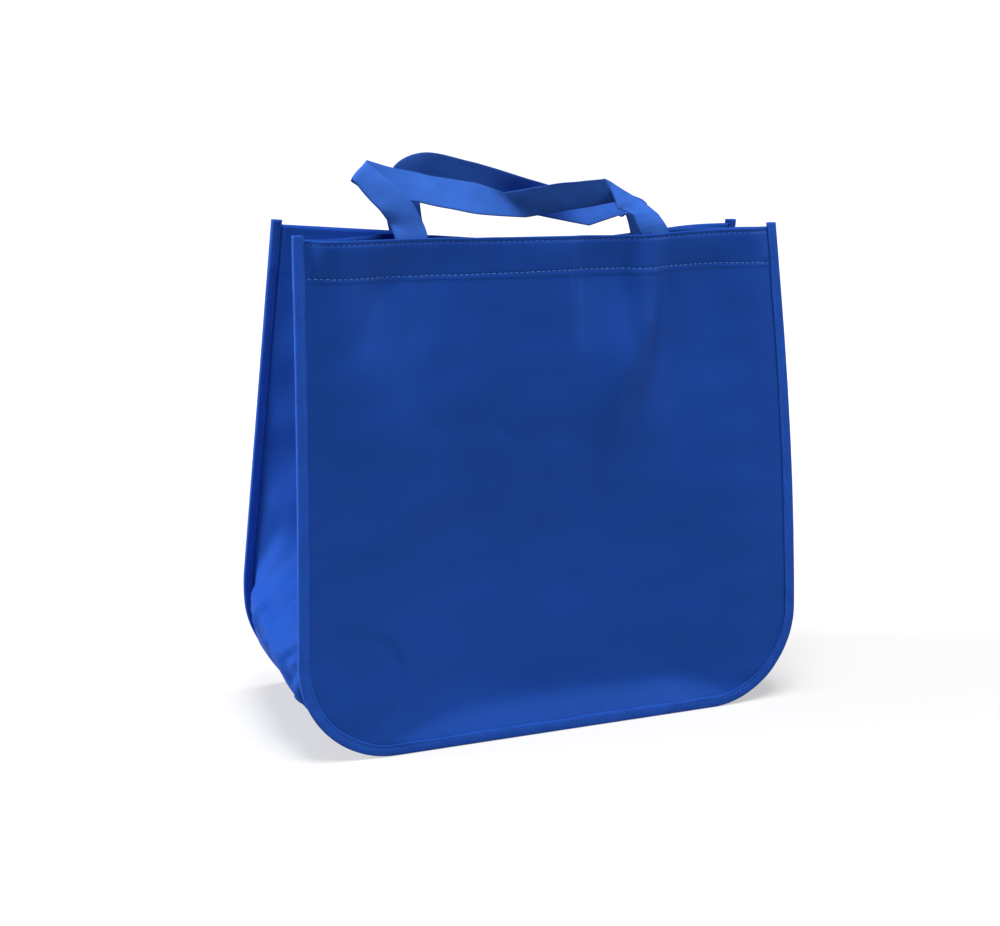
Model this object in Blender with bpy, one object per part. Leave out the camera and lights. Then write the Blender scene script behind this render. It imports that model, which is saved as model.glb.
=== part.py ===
"""Laminated shopping tote, standing open and empty.

Two stiff woven panels with rounded lower corners are joined by one gusset strip
that runs down one side, under the base and up the other side. A folded tape binds
each seam on the outside. Two flat straps are sewn inside the top hems.
The viewer's side is -Y, the floor is Z = 0.
"""

import math

import bmesh
import bpy
from mathutils import Vector

# Driving dimensions, in metres.
HEIGHT = 0.360  # panel, floor to rim
BASE_WIDTH = 0.402  # over the bindings, low down
TOP_WIDTH = 0.3765  # over the bindings, at the rim
CORNER_RADIUS = 0.073
BASE_DEPTH = 0.165  # front panel to back panel at the floor
FRONT_TOP_Y = 0.039  # how far the front rim stands from the middle plane
BACK_TOP_Y = 0.029
BINDING_WIDTH = 0.0082
BINDING_END = 0.003  # the tape ends stand above the rim
SHEET = 0.0006
STRAP = 0.0010
GAP = 0.0003
HEM_DEPTH = 0.029
STRAP_WIDTH = 0.025
STRAP_SPACING = 0.1905
STRAP_OFFSET = -0.0078
BACK_STRAP_OFFSET = -0.0020
STRAP_RISE = 0.050
BACK_BOW = 0.048  # the back rim bends in towards the front rim
BACK_SKEW = 0.005  # the top of the back panel stands this far to the right
BACK_TILT = 0.0043  # and its rim drops to the right by this much each way
BOW_LEFT = 0.55  # under 1 the bend starts nearer the left seam
EDGE_BULGE = 0.006  # the right seam bows out by this much
EDGE_HOLLOW = 0.0016  # and the left one in
LOWER_DENT = 0.004
CORNER_TUCK = 0.0072  # the back panel's lower left corner is drawn in
BACK_SAG = 0.007  # the back rim hangs lower at its middle
BACK_DIP = 0.0045  # the back rim dips beside its left strap

# Derived sizes.
LAYER = SHEET + GAP
EDGE_INSET = LAYER
FIN_INSET = BINDING_WIDTH - GAP
TURN_INSET = BINDING_WIDTH + GAP
ARC_STEPS = 6
BASE_STEPS = 14
PANEL_ROWS = 16

COLOURS = {
    "panel": (0.011, 0.048, 0.254, 1.0),
    "gusset": (0.010, 0.042, 0.216, 1.0),
    "binding": (0.013, 0.061, 0.332, 1.0),
    "strap": (0.045, 0.145, 0.610, 1.0),
}


def clear_scene():
    for item in list(bpy.data.objects):
        bpy.data.objects.remove(item, do_unlink=True)


def smooth(value, start, end):
    t = min(max((value - start) / (end - start), 0.0), 1.0)
    return t * t * (3.0 - 2.0 * t)


def lerp(a, b, t):
    return a + (b - a) * t


def bump(value, centre, width):
    return math.exp(-(((value - centre) / width) ** 2))


def middle(x):
    """1 at the middle of the panel's width, 0 at its edges."""
    return math.cos(math.pi * min(max(x / BASE_WIDTH, -0.5), 0.5)) ** 2


def front_form(x, z):
    """How far the front panel is pushed in at this place, beyond its plain lean."""
    u = x / BASE_WIDTH
    v = z / HEIGHT
    inside = middle(x)
    push = LOWER_DENT * bump(v, 0.12, 0.07) * smooth(inside, 0.0, 0.6)
    push -= 0.0030 * bump(u, -0.24, 0.12) * bump(v, 0.74, 0.14) * inside * 1.6
    push += 0.0030 * bump(u + 0.35 * (0.70 - v), 0.165, 0.045) * bump(v, 0.68, 0.16) * inside
    push -= 0.0030 * bump(u, 0.27, 0.10) * bump(v, 0.55, 0.20) * inside
    push += 0.0025 * bump(u, -0.33, 0.06) * bump(v, 0.20, 0.08) * inside
    return push


def back_form(x, z):
    """How far the back panel bends in: most along its rim, and sooner on the left."""
    rise = smooth(z / HEIGHT, 0.22, 1.05) / smooth(1.0, 0.22, 1.05)
    across = middle(x) ** (BOW_LEFT if x < 0.0 else 1.0)
    return BACK_BOW * across * rise ** 1.2


def front_point(x, z):
    """The middle of the front sheet, at a place given on the flat panel."""
    v = z / HEIGHT
    wide = lerp(1.0, TOP_WIDTH / BASE_WIDTH, v)
    size = EDGE_BULGE if x > 0.0 else EDGE_HOLLOW
    bulge = size * math.sin(math.pi * min(max(v, 0.0), 1.0)) * abs(2.0 * x / BASE_WIDTH) ** 3
    sag = (0.0017 * middle(x) + 0.0017 * bump(x, 0.20 * BASE_WIDTH, 0.125 * BASE_WIDTH)) * v * v
    y = lerp(-BASE_DEPTH / 2.0, -FRONT_TOP_Y, v) + front_form(x, z)
    return Vector((x * wide + bulge, y, z - sag))


def back_point(x, z):
    v = z / HEIGHT
    wide = lerp(1.0, TOP_WIDTH / BASE_WIDTH, v)
    sag = (BACK_SAG * middle(x) + BACK_DIP * bump(x, -0.35 * BASE_WIDTH, 0.085 * BASE_WIDTH)) * v ** 4
    tuck = CORNER_TUCK * smooth(-x / BASE_WIDTH, 0.28, 0.46) * smooth(CORNER_RADIUS - z, -0.025, 0.045)
    tilt = BACK_TILT * v * 2.0 * x / BASE_WIDTH
    y = lerp(BASE_DEPTH / 2.0, BACK_TOP_Y, v) - back_form(x, z)
    return Vector((x * wide + BACK_SKEW * v + tuck, y, z - sag - tilt + 0.15 * tuck))


def on_panel(side, x, z, inward=0.0):
    """A point of the front (side -1) or back (side 1) sheet, moved into the bag."""
    point = front_point(x, z) if side < 0 else back_point(x, z)
    point.y -= side * inward
    return point


def row_share(i):
    """Where the panel's rows lie between its lower edge and its rim: closer low down."""
    return (i / PANEL_ROWS) ** 1.35


def path_places():
    """Places round the seam, from the left rim down, along the base and up again."""
    rows = {HEIGHT, HEIGHT - HEM_DEPTH - 0.002, HEIGHT - HEM_DEPTH - 0.008}
    rows |= {lerp(CORNER_RADIUS, HEIGHT - LAYER, row_share(i)) for i in range(PANEL_ROWS)}
    rows = sorted(rows, reverse=True)
    places = [("side", -1, z) for z in rows]
    places += [("arc", -1, math.pi / 2 * (i + 1) / ARC_STEPS) for i in range(ARC_STEPS)]
    flat = BASE_WIDTH / 2.0 - CORNER_RADIUS
    places += [("base", 0, lerp(-flat, flat, i / BASE_STEPS)) for i in range(1, BASE_STEPS)]
    places += [("arc", 1, math.pi / 2 * (1.0 - i / ARC_STEPS)) for i in range(ARC_STEPS)]
    return places + [("side", 1, z) for z in reversed(rows)]


def place_at(place, inset):
    """The flat panel's x and z at this place on the seam, inset from the binding's edge."""
    kind, way, value = place
    if kind == "side":
        return way * (BASE_WIDTH / 2.0 - inset), value
    if kind == "base":
        return value, inset
    reach = CORNER_RADIUS - inset
    x = BASE_WIDTH / 2.0 - CORNER_RADIUS + reach * math.cos(value)
    return way * x, CORNER_RADIUS - reach * math.sin(value)


def outward(place):
    kind, way, value = place
    if kind == "side":
        return Vector((way, 0.0, 0.0))
    if kind == "base":
        return Vector((0.0, 0.0, -1.0))
    return Vector((way * math.cos(value), 0.0, -math.sin(value)))


def behind(z):
    """Depth of the gusset's turned edge behind the sheet: one layer more behind the hem."""
    return LAYER * (1.0 + smooth(z, HEIGHT - HEM_DEPTH - 0.0075, HEIGHT - HEM_DEPTH - 0.0025))


def material(name, colour, roughness):
    made = bpy.data.materials.new(name)
    made.use_nodes = True
    shader = made.node_tree.nodes["Principled BSDF"]
    shader.inputs["Base Color"].default_value = colour
    shader.inputs["Roughness"].default_value = roughness
    return made


def add_object(name, points, faces, look):
    mesh = bpy.data.meshes.new(name)
    mesh.from_pydata([tuple(p) for p in points], [], faces)
    edit = bmesh.new()
    edit.from_mesh(mesh)
    bmesh.ops.recalc_face_normals(edit, faces=edit.faces)
    edit.to_mesh(mesh)
    edit.free()
    mesh.materials.append(look)
    made = bpy.data.objects.new(name, mesh)
    bpy.context.scene.collection.objects.link(made)
    return made


def shell(name, near, far, look):
    """One closed body between two grids of points of the same size."""
    rows = len(near)
    cols = len(near[0])
    points = [p for row in near for p in row] + [p for row in far for p in row]
    other = rows * cols
    faces = []
    for i in range(rows - 1):
        for j in range(cols - 1):
            a = i * cols + j
            face = (a, a + 1, a + cols + 1, a + cols)
            faces.append(face)
            faces.append(tuple(other + k for k in reversed(face)))
    ring = [j for j in range(cols - 1)]
    ring += [i * cols + cols - 1 for i in range(rows - 1)]
    ring += [(rows - 1) * cols + j for j in range(cols - 1, 0, -1)]
    ring += [i * cols for i in range(rows - 1, 0, -1)]
    for k, a in enumerate(ring):
        b = ring[(k + 1) % len(ring)]
        faces.append((b, a, other + a, other + b))
    return add_object(name, points, faces, look)


def tube(name, rings, look):
    """One closed body through rings of points, capped at both ends."""
    size = len(rings[0])
    points = [p for ring in rings for p in ring]
    faces = []
    for i in range(len(rings) - 1):
        for j in range(size):
            a = i * size + j
            b = i * size + (j + 1) % size
            faces.append((a, b, b + size, a + size))
    faces.append(tuple(range(size - 1, -1, -1)))
    last = (len(rings) - 1) * size
    faces.append(tuple(range(last, last + size)))
    return add_object(name, points, faces, look)


def offset_grid(grid, half):
    """The two sides of a sheet, from the grid of its middle."""
    rows = len(grid)
    cols = len(grid[0])
    near = []
    far = []
    for i in range(rows):
        near.append([])
        far.append([])
        for j in range(cols):
            along = grid[min(i + 1, rows - 1)][j] - grid[max(i - 1, 0)][j]
            across = grid[i][min(j + 1, cols - 1)] - grid[i][max(j - 1, 0)]
            normal = along.cross(across).normalized()
            near[i].append(grid[i][j] + normal * half)
            far[i].append(grid[i][j] - normal * half)
    return near, far


def panel_columns(inset):
    """x and lowest z of each column of the panel, left to right."""
    columns = [place_at(("arc", -1, math.pi / 2 * i / ARC_STEPS), inset) for i in range(ARC_STEPS)]
    flat = BASE_WIDTH / 2.0 - CORNER_RADIUS
    columns += [(lerp(-flat, flat, i / BASE_STEPS), inset) for i in range(BASE_STEPS + 1)]
    return columns + [(-x, z) for x, z in reversed(columns[:ARC_STEPS])]


def build_panel(name, side, look):
    """One sheet whose top folds over into the bag as the hem."""
    columns = panel_columns(EDGE_INSET)
    half = SHEET / 2.0
    radius = LAYER / 2.0
    outer = []
    inner = []
    for i in range(PANEL_ROWS + 1):
        places = [(x, lerp(low, HEIGHT - LAYER, row_share(i))) for x, low in columns]
        outer.append([on_panel(side, x, z, -half) for x, z in places])
        inner.append([on_panel(side, x, z, half) for x, z in places])
    top = HEIGHT - LAYER
    for angle in (0.25 * math.pi, 0.5 * math.pi, 0.75 * math.pi):
        for grid, reach in ((outer, radius + half), (inner, radius - half)):
            inward = radius - reach * math.cos(angle)
            up = reach * math.sin(angle)
            grid.append([on_panel(side, x, top, inward) + Vector((0, 0, up)) for x, _ in columns])
    for i in range(4):
        z = lerp(top, HEIGHT - HEM_DEPTH, i / 3.0)
        outer.append([on_panel(side, x, z, LAYER + half) for x, _ in columns])
        inner.append([on_panel(side, x, z, LAYER - half) for x, _ in columns])
    return shell(name, outer, inner, look)


def gusset_spread(place, depth):
    """How far the gusset folds in (negative) or hangs out at this place, at its middle."""
    kind, _, value = place
    if kind == "side":
        reach = BASE_DEPTH / 2.0
        fold = math.sqrt(max(reach * reach - depth * depth / 4.0, 0.0))
        return -fold * smooth(value, CORNER_RADIUS, CORNER_RADIUS * 1.9)
    return 0.0


def base_drop(place):
    """1 where the strip hangs out flush with the tapes, to lie on the floor, 0 higher up."""
    kind, _, value = place
    if kind == "side":
        return 1.0 - smooth(value, CORNER_RADIUS * 0.9, CORNER_RADIUS * 1.5)
    return 1.0


def clearance(x, z):
    """Half of the room between the two panels at this place."""
    return (back_point(x, z).y - front_point(x, z).y) / 2.0


def gusset_section(place):
    """Points of the gusset's middle across the bag, front edge to back edge."""
    edge = [place_at(place, inset) for inset in (EDGE_INSET, FIN_INSET - SHEET, TURN_INSET)]
    depth = behind(edge[0][1])
    turn = depth + LAYER
    front = [on_panel(-1, *edge[0], depth), on_panel(-1, *edge[1], depth)]
    back = [on_panel(1, *edge[1], depth), on_panel(1, *edge[0], depth)]
    a = on_panel(-1, *edge[2], turn)
    b = on_panel(1, *edge[2], turn)
    out = outward(place)
    spread = gusset_spread(place, (b - a).length)
    drop = base_drop(place) * (TURN_INSET - SHEET / 2.0)
    x, z = edge[2]
    reach = clearance(x - out.x * abs(spread), z)
    body = []
    for t in (0.0, 0.06, 0.14, 0.30, 0.46, 0.50, 0.54, 0.70, 0.86, 0.94, 1.0):
        fold = 1.0 - abs(2.0 * t - 1.0)
        hang = smooth(0.5 - abs(t - 0.5), 0.0, 0.10)
        point = a.lerp(b, t) + out * (spread * fold + drop * hang)
        if spread < 0.0:
            side = -1 if t < 0.5 else 1
            near = x + out.x * spread * fold
            point.y = on_panel(side, near, z, lerp(turn, reach, fold)).y
        body.append(point)
    return front + body + back


def build_gusset(look):
    grid = [gusset_section(place) for place in path_places()]
    near, far = offset_grid(grid, SHEET / 2.0)
    return shell("gusset", near, far, look)


def build_binding(name, side, look):
    """A tape folded over the raw edges of one panel and the gusset."""
    places = path_places()
    above = ("side", -1, HEIGHT + BINDING_END)
    places = [above] + places + [("side", 1, HEIGHT + BINDING_END)]
    rings = []
    face = SHEET / 2.0 + GAP
    for place in places:
        inner = behind(place_at(place, 0.0)[1]) + face
        section = (
            (BINDING_WIDTH, -face - SHEET),
            (BINDING_WIDTH, -face),
            (SHEET, -face),
            (SHEET, inner),
            (FIN_INSET - 2.0 * SHEET, inner),
            (FIN_INSET - 2.0 * SHEET, inner + SHEET),
            (0.0003, inner + SHEET),
            (0.0, inner + SHEET - 0.0003),
            (0.0, -face - SHEET + 0.0003),
            (0.0003, -face - SHEET),
        )
        rings.append([on_panel(side, *place_at(place, inset), inward) for inset, inward in section])
    return tube(name, rings, look)


# Each station of a strap above the rim, in millimetres: the side edge that ends up on
# top, then the other edge. Heights are above the rim. Only the middle and the direction
# across are used, so the strap keeps its width.
FRONT_STRAP = (
    ((-93, -35, 8), (-118, -35, 8)),
    ((-102, -36, 23), (-124, -37, 17)),
    ((-112, -35, 34), (-132, -38, 25)),
    ((-129, -31, 49), (-146, -43, 38)),
    ((-130, -28, 51), (-147, -41, 40)),
    ((-129, -25, 50), (-146, -38, 38)),
    ((-111, -22, 45), (-124, -32, 26)),
    ((-85, -18, 38), (-96, -36, 26)),
    ((-48, -16, 32), (-55, -34, 17)),
    ((-28, -22, 28), (-10, -22, 9)),
    ((11, -33, 34), (17, -21, 13)),
    ((46, -33, 37), (60, -23, 19)),
    ((57, -22, 33), (55, -38, 17)),
    ((81, -23, 20), (60, -35, 15)),
    ((92, -31, 11), (68, -37, 11)),
    ((95, -35, 5), (71, -38, 3)),
)
BACK_STRAP = (
    ((-109, -3, 8), (-84, -10, 8)),
    ((-110, -4, 24), (-87, -8, 22)),
    ((-104, -6, 46), (-87, -1, 29)),
    ((-79, -8, 52), (-75, 6, 35)),
    ((-46, -6, 46), (-44, 9, 28)),
    ((-23, -4, 40), (-22, 11, 22)),
    ((6, -6, 30), (4, 9, 13)),
    ((47, -8, 21), (50, 5, 2)),
    ((64, -6, 26), (74, 1, 9)),
    ((92, 0, 16), (79, -5, 9)),
    ((102, 2, 9), (77, -7, 9)),
)


def sewn_stations(side, x, flip):
    """The strap's end behind the hem, from its lower end up to the rim."""
    inward = LAYER + SHEET / 2.0 + GAP + STRAP / 2.0
    flat = BASE_WIDTH / TOP_WIDTH
    stations = []
    for z in (HEIGHT - HEM_DEPTH, HEIGHT - 0.5 * HEM_DEPTH, HEIGHT - 0.002):
        row = []
        for across in (-0.5, 0.0, 0.5):
            row.append(on_panel(side, flat * (x + flip * across * STRAP_WIDTH), z, inward))
        stations.append(row)
    return stations


def free_stations(rows):
    wide = STRAP_SPACING / 0.1905
    deep = (FRONT_TOP_Y + BACK_TOP_Y) / 0.068
    rise = STRAP_RISE / 0.050
    stations = []
    for one, other in rows:
        a = Vector((one[0] * wide, one[1] * deep, one[2] * rise)) * 0.001
        b = Vector((other[0] * wide, other[1] * deep, other[2] * rise)) * 0.001
        mid = (a + b) / 2.0 + Vector((0.0, 0.0, HEIGHT))
        half = (b - a).normalized() * STRAP_WIDTH / 2.0
        stations.append([mid - half, mid, mid + half])
    return stations


def build_strap(name, side, rows, first_flip, last_flip, look):
    offset = STRAP_OFFSET if side < 0 else BACK_STRAP_OFFSET
    left = offset - STRAP_SPACING / 2.0
    right = offset + STRAP_SPACING / 2.0
    start = sewn_stations(side, left, first_flip)
    end = sewn_stations(side, right, last_flip)
    grid = start + free_stations(rows) + end[::-1]
    near, far = offset_grid(grid, STRAP / 2.0)
    return shell(name, near, far, look)


def settle(objects):
    """Puts the middle of the whole bag's box on the origin, and its underside at Z = 0."""
    points = [v.co for made in objects for v in made.data.vertices]
    low = Vector([min(p[i] for p in points) for i in range(3)])
    high = Vector([max(p[i] for p in points) for i in range(3)])
    shift = Vector((-(low.x + high.x) / 2.0, -(low.y + high.y) / 2.0, -low.z))
    for made in objects:
        for vertex in made.data.vertices:
            vertex.co += shift
        made.data.update()


def build():
    clear_scene()
    panel = material("laminate_panel", COLOURS["panel"], 0.38)
    side = material("laminate_gusset", COLOURS["gusset"], 0.40)
    tape = material("binding_tape", COLOURS["binding"], 0.60)
    strap = material("strap_nonwoven", COLOURS["strap"], 0.65)
    settle([
        build_panel("front_panel", -1, panel),
        build_panel("back_panel", 1, panel),
        build_gusset(side),
        build_binding("front_binding", -1, tape),
        build_binding("back_binding", 1, tape),
        build_strap("front_strap", -1, FRONT_STRAP, -1, -1, strap),
        build_strap("back_strap", 1, BACK_STRAP, 1, -1, strap),
    ])


build()
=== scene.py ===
"""Looks for the laminated shopping tote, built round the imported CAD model.

The panels, gusset, bindings and straps are fine meshes near the surfaces of the CAD
solids, with the creases, puckers and stitching that those leave out. Above its foot the
front panel lies up to 12 mm inside its solid.
"""

import math

import bpy
import numpy as np
from mathutils import Matrix, Vector


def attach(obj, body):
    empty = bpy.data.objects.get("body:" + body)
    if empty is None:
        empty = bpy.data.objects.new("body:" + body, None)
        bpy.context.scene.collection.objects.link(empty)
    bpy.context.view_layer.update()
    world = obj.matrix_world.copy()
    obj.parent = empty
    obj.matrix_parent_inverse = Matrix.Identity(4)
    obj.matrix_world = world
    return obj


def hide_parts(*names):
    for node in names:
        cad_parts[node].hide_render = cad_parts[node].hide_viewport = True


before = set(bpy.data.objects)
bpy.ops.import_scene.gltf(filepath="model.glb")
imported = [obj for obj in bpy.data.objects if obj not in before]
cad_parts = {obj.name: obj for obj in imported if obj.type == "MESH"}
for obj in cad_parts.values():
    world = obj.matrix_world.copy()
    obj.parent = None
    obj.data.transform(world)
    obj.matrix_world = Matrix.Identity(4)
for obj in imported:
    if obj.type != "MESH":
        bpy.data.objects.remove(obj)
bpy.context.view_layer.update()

# The CAD source's driving dimensions, in metres.
HEIGHT = 0.360
BASE_WIDTH = 0.402
TOP_WIDTH = 0.3765
CORNER_RADIUS = 0.073
BASE_DEPTH = 0.165
FRONT_TOP_Y = 0.039
BACK_TOP_Y = 0.029
BINDING_WIDTH = 0.0082
BINDING_END = 0.003
SHEET = 0.0006
STRAP = 0.0010
GAP = 0.0003
HEM_DEPTH = 0.029
STRAP_WIDTH = 0.025
STRAP_SPACING = 0.1905
STRAP_OFFSET = -0.0078
BACK_STRAP_OFFSET = -0.0020
BACK_BOW = 0.048
BACK_SKEW = 0.005
BACK_TILT = 0.0043
BOW_LEFT = 0.55
EDGE_BULGE = 0.006
EDGE_HOLLOW = 0.0016
CORNER_TUCK = 0.0072
BACK_SAG = 0.007
BACK_DIP = 0.0045
LAYER = SHEET + GAP
EDGE_INSET = LAYER
FIN_INSET = BINDING_WIDTH - GAP
TURN_INSET = BINDING_WIDTH + GAP
FACE = SHEET / 2.0 + GAP
SHIFT = np.array([-0.0022964, -0.0000485, 0.0000542])  # the CAD source centres the bag

HEM_STITCH = 0.0255  # below the rim
RIM_STITCH = 0.0032
TAPE_STITCH = 0.0058  # from the binding's outer edge
STITCH_PITCH = 0.0042
HEM_THREAD = 0.00024  # radius
RIM_THREAD = 0.00012
THREAD = 0.00018
BASE_LIMIT = SHEET / 2.0  # the gusset's middle comes no nearer to the floor
SEWN_HEIGHTS = (HEIGHT - HEM_DEPTH, HEIGHT - 0.5 * HEM_DEPTH, HEIGHT - 0.002)  # stations of a sewn strap end

FOOT_HIGH = 0.0185
FOOT_SLOPE = 0.60
WOVEN_DOTS = 4200.0  # waves of the fabrics' patterns, in radians per metre
TAPE_RIBS = 5200.0
PRESSED_DOTS = 3100.0
THREAD_TWIST = 14000.0

WORLD_LIGHT = 0.06
FLOOR_GREY = 0.36
FLOOR_LIFT = 0.49

PANEL_BLUE = (0.0128, 0.065, 0.360, 1.0)
GUSSET_BLUE = (0.0140, 0.067, 0.360, 1.0)
TAPE_BLUE = (0.0130, 0.083, 0.500, 1.0)
STRAP_BLUE = (0.037, 0.138, 0.610, 1.0)
THREAD_BLUE = (0.100, 0.290, 0.850, 1.0)
EDGING_BLUE = (0.016, 0.100, 0.540, 1.0)
FILM_TINT = (0.20, 0.50, 1.0, 1.0)

# Both edges of a strap at each station: x, y and height over the rim, in millimetres.
FRONT_STRAP = (
    ((-93, -35, 8), (-118, -35, 8)),
    ((-102, -33, 23), (-124, -37, 17)),
    ((-112, -29, 34), (-132, -37, 25)),
    ((-128, -23, 49), (-145, -39, 38)),
    ((-129, -20, 51), (-146, -37, 40)),
    ((-128, -15, 50), (-143, -28, 38)),
    ((-109, -13, 45), (-121, -22, 26)),
    ((-85, -18, 38), (-95, -27, 25)),
    ((-48, -20, 32), (-55, -31, 16)),
    ((-28, -22, 28), (-10, -22, 9)),
    ((11, -33, 34), (17, -21, 13)),
    ((46, -33, 37), (60, -23, 19)),
    ((57, -22, 33), (55, -38, 17)),
    ((81, -23, 20), (60, -35, 15)),
    ((92, -31, 11), (68, -37, 11)),
    ((95, -35, 5), (71, -38, 3)),
)
BACK_STRAP = (
    ((-109, -3, 8), (-84, -10, 8)),
    ((-110, -4, 24), (-87, -8, 22)),
    ((-104, -6, 46), (-87, -1, 29)),
    ((-79, 0, 51), (-75, 3, 34)),
    ((-46, 2, 45), (-44, 5, 27)),
    ((-23, 2, 39), (-22, 6, 21)),
    ((6, -1, 30), (4, 4, 13)),
    ((47, 4, 21), (48, -6, 2)),
    ((64, 4, 26), (72, -5, 9)),
    ((92, 0, 16), (79, -5, 9)),
    ((102, 2, 9), (77, -7, 9)),
)


def smooth(value, start, end):
    t = np.clip((value - start) / (end - start), 0.0, 1.0)
    return t * t * (3.0 - 2.0 * t)


def lerp(a, b, t):
    return a + (b - a) * t


def bump(value, centre, width):
    return np.exp(-(((value - centre) / width) ** 2))


def middle(x):
    return np.cos(np.pi * np.clip(x / BASE_WIDTH, -0.5, 0.5)) ** 2


def ripple(a, b, seed, waves=5, low=0.03, high=0.07):
    """A smooth irregular field between about -1 and 1, from a few crossed waves."""
    draw = np.random.RandomState(seed)
    total = 0.0
    for _ in range(waves):
        angle = draw.uniform(0.0, math.pi)
        length = draw.uniform(low, high)
        phase = draw.uniform(0.0, 2.0 * math.pi)
        total = total + np.sin((a * math.cos(angle) + b * math.sin(angle)) * 2.0 * math.pi / length + phase)
    return total / math.sqrt(waves)


def corner_reach(x, z):
    """Distance in from the binding's outer edge at this place of the flat panel."""
    dx = np.abs(x) - (BASE_WIDTH / 2.0 - CORNER_RADIUS)
    dz = CORNER_RADIUS - z
    inside = np.hypot(np.maximum(dx, 0.0), np.maximum(dz, 0.0))
    return CORNER_RADIUS - np.where((dx > 0.0) | (dz > 0.0), inside, 0.0)


def crease(x, z, ends, width, depth):
    """A straight dent that fades at its ends; a negative depth makes a ridge."""
    (x0, z0), (x1, z1) = ends
    length = math.hypot(x1 - x0, z1 - z0)
    ax, az = (x1 - x0) / length, (z1 - z0) / length
    along = ((x - x0) * ax + (z - z0) * az) / length
    across = (x - x0) * -az + (z - z0) * ax
    fade = smooth(along, -0.15, 0.25) * (1.0 - smooth(along, 0.75, 1.15))
    return depth * fade * np.exp(-((across / width) ** 2))


def stitch_z(x):
    """Height of the hem's stitch line on the flat panel."""
    return HEIGHT - HEM_STITCH + 0.0008 * np.sin(x * 17.0 + 0.6)


def seam_work(x, z, seed):
    """The small relief that sewing leaves: the hem's edge, two stitch channels and puckers."""
    hem = HEIGHT - HEM_DEPTH
    inside = smooth(corner_reach(x, z), BINDING_WIDTH * 0.8, BINDING_WIDTH + 0.004)
    push = -0.00025 * smooth(z, hem - 0.0012, hem + 0.0008)
    push = push + 0.00034 * bump(z, stitch_z(x), 0.0009) + 0.00045 * bump(z, HEIGHT - RIM_STITCH, 0.0008)
    pucker = ripple(x, z * 0.25, seed, 6, 0.009, 0.024)
    push = push + 0.00013 * pucker * bump(z, stitch_z(x), 0.006)
    push = push + 0.00012 * pucker * bump(z, HEIGHT - RIM_STITCH, 0.004)
    reach = corner_reach(x, z)
    along = np.arctan2(z - 0.15, x) * 0.16
    tape = ripple(along, reach * 0.3, seed + 1, 6, 0.010, 0.030)
    curved = smooth(np.abs(x), 0.11, 0.17) * (1.0 - smooth(z, 0.05, 0.10))
    near = bump(reach, BINDING_WIDTH + 0.001, 0.008)
    return push * inside + (0.00014 + 0.00030 * curved) * tape * near


def lesser(a, b, soft):
    """The lesser of two values, with the corner between them rounded."""
    return 0.5 * (a + b - np.sqrt((a - b) ** 2 + soft * soft))


def flare(x, z, left, right, high):
    """The panel's foot, which leans out to the base seam, so that it catches the light."""
    top = high * smooth(x, left, left + 0.09) * (1.0 - smooth(x, right - 0.09, right))
    ramp = lesser(z - 0.006, top, 0.006)
    return FOOT_SLOPE * np.maximum(ramp, 0.0) * np.clip((0.42 - z) / 0.38, 0.0, 1.0)


def front_form(x, z):
    u = x / BASE_WIDTH
    v = z / HEIGHT
    inside = middle(x)
    push = flare(x, z, -0.150, 0.175, FOOT_HIGH) * smooth(inside, 0.0, 0.25)
    push += 0.0052 * bump(u, -0.06, 0.30) * bump(v, 0.40, 0.20) * inside
    return push


def wedge(x, z):
    """The dark wedge right of the middle: the sheet comes forward through it going up."""
    high = 0.212 + 1.43 * (x - 0.030)
    low = 0.197 + 0.062 * (np.clip(x - 0.056, 0.0, 0.05) / 0.034) ** 1.3
    tall = np.maximum(high - low, 0.004)
    ramp = smooth(z, low - 0.006, high + 0.006)
    above = 1.0 - smooth(z, high + 0.004, high + 0.075)
    across = smooth(x, 0.018, 0.058) * (1.0 - smooth(x, 0.088, 0.106))
    return -0.115 * tall * ramp * above * across


def right_field(x, z):
    """The lighter field right of the wedge, which leans back a little."""
    across = smooth(x, 0.078, 0.108) * (1.0 - smooth(x, 0.140, 0.180))
    rise = smooth(z, 0.150, 0.190) * np.clip((z - 0.160) / 0.115, 0.0, 1.0)
    return 0.0068 * across * rise * (1.0 - 0.6 * smooth(z, 0.27 + 0.2 * (x - 0.12), 0.40))


def dark_corner(x, z):
    """The upper left of the panel, which comes forward going up."""
    across = 1.0 - smooth(x + 0.35 * (z - 0.28), -0.165, -0.115)
    return -0.040 * np.maximum(z - 0.180, 0.0) * smooth(z, 0.160, 0.230) * across


def hem_lean(x, z):
    """The stiffer hem stands a little proud, in a few flat steps along its length."""
    depth = 0.0012 + 0.0042 * (1.0 - smooth(x, -0.155, -0.105)) + 0.0010 * bump(x, 0.105, 0.020)
    depth = depth - 0.0012 * bump(x, -0.088, 0.012) - 0.0010 * bump(x, 0.035, 0.012)
    depth = depth + 0.0009 * bump(x, 0.180, 0.012)
    depth = depth + 0.0005 * bump(x, 0.0, 0.030)
    return -depth * smooth(z, HEIGHT - HEM_DEPTH - 0.002, HEIGHT)


def under_hem(x, z):
    """Where the panel is drawn in just under the hem, so that a few patches face up."""
    up = (z - 0.268) / 0.057
    left = bump(x, lerp(-0.158, -0.128, up), 0.017) + bump(x, lerp(-0.113, -0.096, up), 0.014)
    left = lesser(left, 1.0, 0.15) + 0.35 * bump(x, lerp(-0.070, -0.055, up), 0.009)
    right = smooth(x, 0.018, 0.030) * (1.0 - smooth(x, 0.062, 0.078))
    slope = smooth(up, -0.15, 0.5) * np.clip(up, 0.0, 1.05)
    drawn = slope * (1.0 - 0.65 * smooth(z, HEIGHT - HEM_DEPTH - 0.003, 0.366))
    return 0.0052 * (left + 0.9 * right) * drawn


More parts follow.
